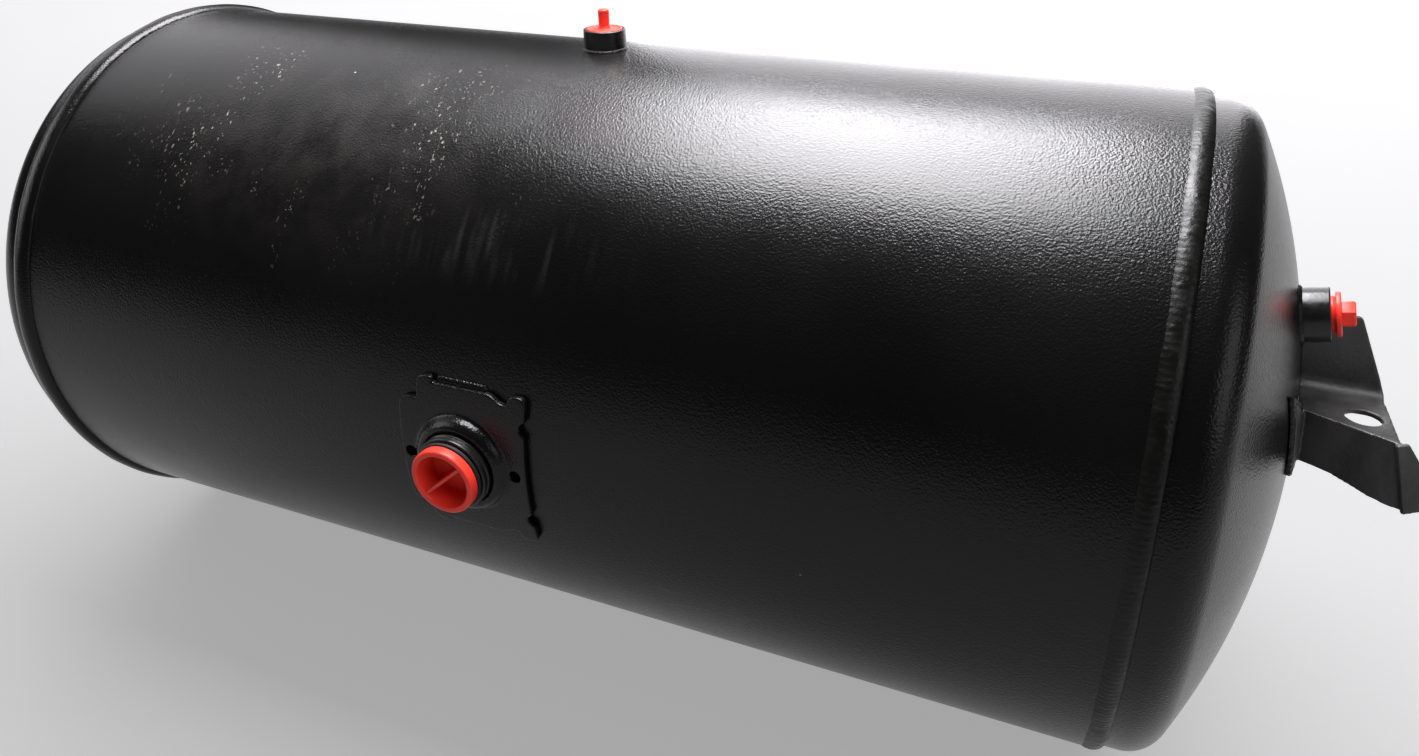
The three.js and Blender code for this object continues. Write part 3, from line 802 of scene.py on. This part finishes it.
# Stage --------------------------------------------------------------------------------
def build_floor():
    mesh = bpy.data.meshes.new("studio_floor")
    corners = [(x * FLOOR_REACH, y * FLOOR_REACH, 0) for x, y in ((-1, -1), (1, -1), (1, 1), (-1, 1))]
    mesh.from_pydata(corners, [], [(0, 1, 2, 3)])
    mesh.materials.append(floor_paint())
    floor = bpy.data.objects.new("studio_floor", mesh)
    floor.location.z = cad_bounds[0][2] - FLOOR_GAP
    bpy.context.scene.collection.objects.link(floor)
    return floor


def soft_light(name, centre, facing, size, radiance, group):
    """Rectangular softbox at a point, facing a direction, linked to a light group."""
    away = -Vector(facing).normalized()
    across = (Vector((1, 0, 0)) - away * away.x).normalized()
    light = bpy.data.lights.new(name, "AREA")
    light.shape = "RECTANGLE"
    light.size, light.size_y = size
    light.energy = radiance * math.pi * size[0] * size[1]
    light.color = LIGHT_TINT
    lamp = bpy.data.objects.new(name, light)
    turn = Matrix((across, away.cross(across), away)).transposed().to_4x4()
    lamp.matrix_world = Matrix.Translation(centre) @ turn
    bpy.context.scene.collection.objects.link(lamp)
    lamp.light_linking.receiver_collection = group


def light_group(name, objects, state):
    """Objects that a light alone reaches (INCLUDE) or leaves dark (EXCLUDE)."""
    group = bpy.data.collections.new(name)
    for obj in objects:
        group.objects.link(obj)
    for member in group.collection_objects:
        member.light_linking.link_state = state
    return group


def build_lights(floor):
    off_floor = light_group("off_floor", [floor], "EXCLUDE")
    meshes = [obj for obj in bpy.data.objects if obj.type == "MESH" and obj.data.materials]
    fittings = [obj for obj in meshes if obj.data.materials[0] in (RED, DULL_COAT_PAINTED_LIGHT)]
    edge_names = ("saddle_plate", "threaded_collar", "girth_bead_left")
    edges = [bpy.data.objects[name] for name in edge_names]
    soft_light("key", (-0.13, 0.44, 1.56), (0, 0, -1), (0.84, 1.2), 32, off_floor)
    soft_light("back_panel", (0.0, 1.3, 0.85), (0, -1, 0), (1.3, 1.3), 2.6, off_floor)
    soft_light("left_panel", (-1.3, 0.5, 1.3), (1, -0.4, -0.8), (1.4, 1.2), 1.5, off_floor)
    soft_light("right_panel", (1.5, -0.5, 0.9), (-1, 0.4, -0.55), (0.7, 0.9), 1.6, off_floor)
    soft_light("edge_fill", (-1.3, -0.7, 0.9), (1, 0.4, -0.55), (0.9, 0.9), 3,
               light_group("edges", edges, "INCLUDE"))
    soft_light("fittings_fill", (0.9, -0.45, 1.6), (-0.6, 0.28, -1), (0.9, 0.9), 5,
               light_group("fittings", fittings, "INCLUDE"))
    soft_light("floor_fill", (0, 3.2, 3), (0, 0, -1), (9, 6), 1.2,
               light_group("on_floor", [floor], "INCLUDE"))
    world = bpy.data.worlds.new("studio")
    bpy.context.scene.world = world
    world.use_nodes = True
    world.node_tree.nodes["Background"].inputs["Color"].default_value = (1, 1, 1, 1)
    world.node_tree.nodes["Background"].inputs["Strength"].default_value = WORLD_LIGHT


def build_camera():
    camera = bpy.data.cameras.new("camera")
    camera.sensor_width = 36
    camera.lens = CAMERA_LENS
    camera.shift_x, camera.shift_y = CAMERA_SHIFT
    camera.clip_start = 0.05
    camera.dof.use_dof = False
    obj = bpy.data.objects.new("camera", camera)
    obj.location = CAMERA_PLACE
    obj.rotation_euler = [math.radians(a) for a in CAMERA_TURN]
    bpy.context.scene.collection.objects.link(obj)
    bpy.context.scene.camera = obj


build_lights(build_floor())
build_camera()
bpy.context.scene.view_settings.view_transform = "Standard"
